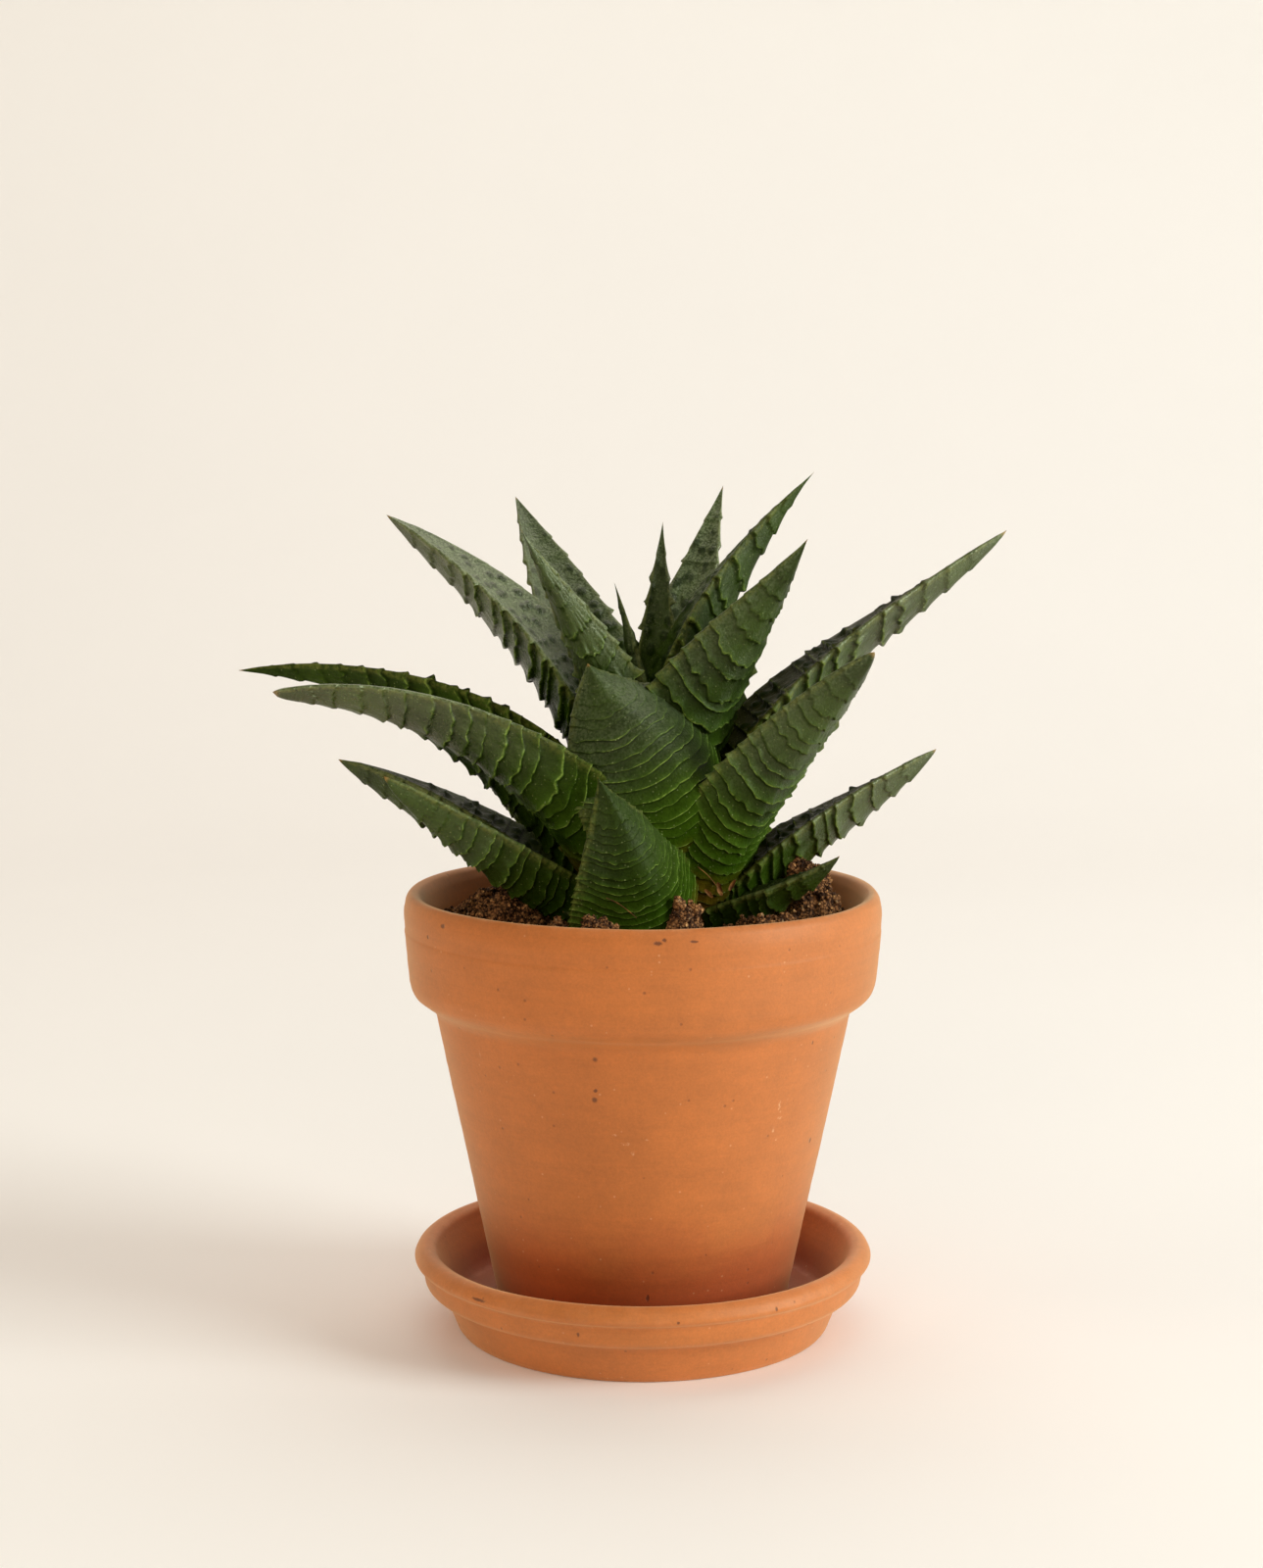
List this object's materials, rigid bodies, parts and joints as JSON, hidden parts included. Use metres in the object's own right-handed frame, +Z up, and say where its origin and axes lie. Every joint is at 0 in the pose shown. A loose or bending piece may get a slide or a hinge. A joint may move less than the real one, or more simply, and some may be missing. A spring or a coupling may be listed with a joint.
{
  "type": "potted haworthia",
  "caption": "Rosette of thick, pointed, keeled succulent leaves with washboard ridges, in a round terracotta pot of soil that stands on a terracotta saucer.",
  "frame": {"origin": "middle of the saucer's flat underside, where it rests on the ground", "axes": "+Z up along the pot's axis; +X to the right and +Y away from the viewer of the picture"},
  "size_m": [0.1764, 0.1168, 0.1956],
  "materials": {
    "terracotta": "matte unglazed fired clay with a sandy grain",
    "saucer_terracotta": "matte unglazed fired clay, a little darker where damp",
    "soil": "loose matte crumbs of potting mix",
    "stem": "dull fleshy green",
    "leaf": "firm dark green skin with a dull sheen and pale ridge crests"
  },
  "bodies": {
    "root": {"pot": "terracotta", "saucer": "saucer_terracotta", "soil": "soil", "stem": "stem", "leaf_front_low": "leaf", "leaf_low_left_front": "leaf", "leaf_low_right_front": "leaf", "leaf_left_long": "leaf", "leaf_right_broad": "leaf", "leaf_front_middle": "leaf", "leaf_left_steep": "leaf", "leaf_right_steep": "leaf", "leaf_right_tall": "leaf", "leaf_heart_small": "leaf", "leaf_heart_tall": "leaf", "leaf_left_raised": "leaf", "leaf_right_long": "leaf", "leaf_low_right": "leaf", "leaf_left_far": "leaf", "leaf_low_left": "leaf", "leaf_left_under": "leaf", "leaf_back_left": "leaf", "leaf_back_right": "leaf", "leaf_rear_middle": "leaf", "leaf_rear_right": "leaf", "leaf_rear_left": "leaf", "leaf_rear_low_left": "leaf", "leaf_rear_low_right": "leaf", "leaf_rear_low_middle": "leaf", "leaf_rear_low_side": "leaf", "leaf_old_front": "leaf"}
  },
  "joints": []
}
